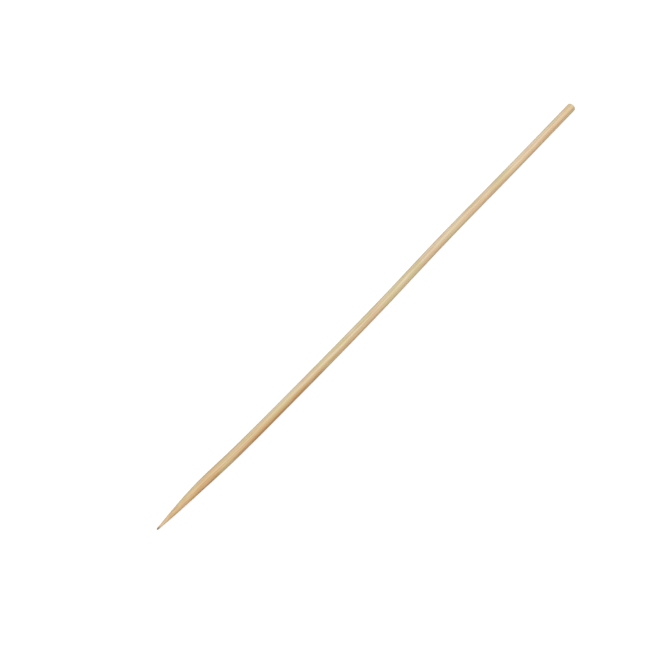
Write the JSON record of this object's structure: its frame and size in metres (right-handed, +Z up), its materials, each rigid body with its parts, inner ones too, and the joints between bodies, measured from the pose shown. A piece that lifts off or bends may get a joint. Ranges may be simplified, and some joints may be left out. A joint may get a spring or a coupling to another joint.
{
  "type": "bamboo skewer",
  "caption": "Slim round bamboo stick with a long sharp point at one end and a plain square-cut butt at the other, slightly bowed as real ones are.",
  "frame": {"origin": "middle of the ground that the stick covers when it lies down, on that ground", "axes": "+X along the stick from its point to its butt, +Z up, and +Y across, away from the side that the stick bows to"},
  "size_m": [0.2, 0.004, 0.003],
  "materials": {
    "bamboo": "dry unvarnished bamboo, pale straw with long fibres, dull to faintly satin"
  },
  "bodies": {
    "root": {"skewer": "bamboo"}
  },
  "joints": []
}
